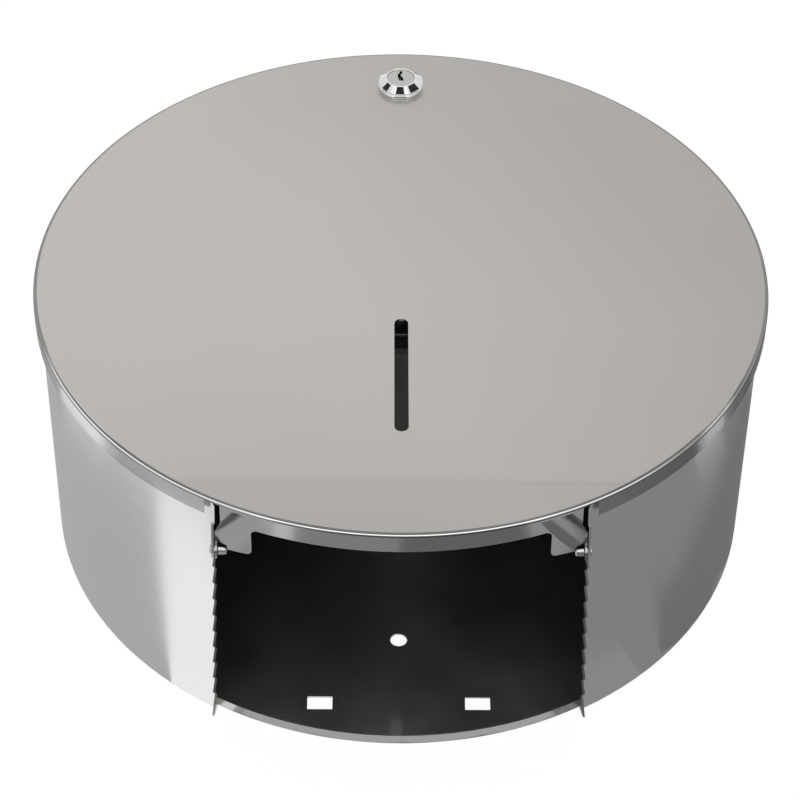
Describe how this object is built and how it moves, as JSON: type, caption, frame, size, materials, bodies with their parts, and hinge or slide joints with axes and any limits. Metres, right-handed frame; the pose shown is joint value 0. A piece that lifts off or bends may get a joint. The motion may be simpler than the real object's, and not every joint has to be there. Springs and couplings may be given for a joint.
{
  "type": "jumbo toilet roll dispenser",
  "caption": "Round steel wall dispenser for a jumbo toilet roll, with a hinged locking front cover, sight slot, toothed paper opening and a turning core hub.",
  "frame": {"origin": "centre of the back plate's wall face, with the dispenser lying on its back", "axes": "+Z out of the wall through the front cover, +Y towards the lock (up in use), the paper leaves at -Y"},
  "size_m": [0.27, 0.27, 0.1162],
  "materials": {
    "cover_steel": "satin",
    "band_steel": "brushed",
    "plate_steel": "satin",
    "pin_steel": "polished",
    "lock_chrome": "polished",
    "wafer_brass": "satin",
    "plated_steel": "zinc plated",
    "hub_plastic": "moulded"
  },
  "bodies": {
    "casing": {"back_plate": "plate_steel", "body_band": "band_steel", "hinge_pin_left": "pin_steel", "hinge_pin_right": "pin_steel", "lock_keeper": "plate_steel", "spindle_foot": "plated_steel", "spindle": "plated_steel", "foot_rivets": "plated_steel", "end_washer": "plated_steel", "end_screw": "plated_steel"},
    "cover": {"front_cover": "cover_steel", "lock_housing": "lock_chrome", "lock_nut": "plated_steel", "lock_tooth_washer": "plated_steel"},
    "lock_core": {"lock_plug": "lock_chrome", "lock_wafers": "wafer_brass", "stop_washer": "plated_steel", "lock_cam": "plated_steel", "cam_spring_washer": "plated_steel", "cam_screw": "plated_steel"},
    "hub": {"core_hub": "hub_plastic"}
  },
  "joints": [
    {"name": "cover_hinge", "type": "hinge", "parent": "casing", "child": "cover", "pos_m": [0, -0.118, 0.0871], "axis": [1, 0, 0], "range_deg": [0, 150]},
    {"name": "lock_turn", "type": "hinge", "parent": "cover", "child": "lock_core", "pos_m": [0, 0.113, 0.1], "axis": [0, 0, 1], "range_deg": [0, 90]},
    {"name": "hub_spin", "type": "hinge", "parent": "casing", "child": "hub", "pos_m": [0, 0, 0.04], "axis": [0, 0, 1], "continuous": true}
  ]
}
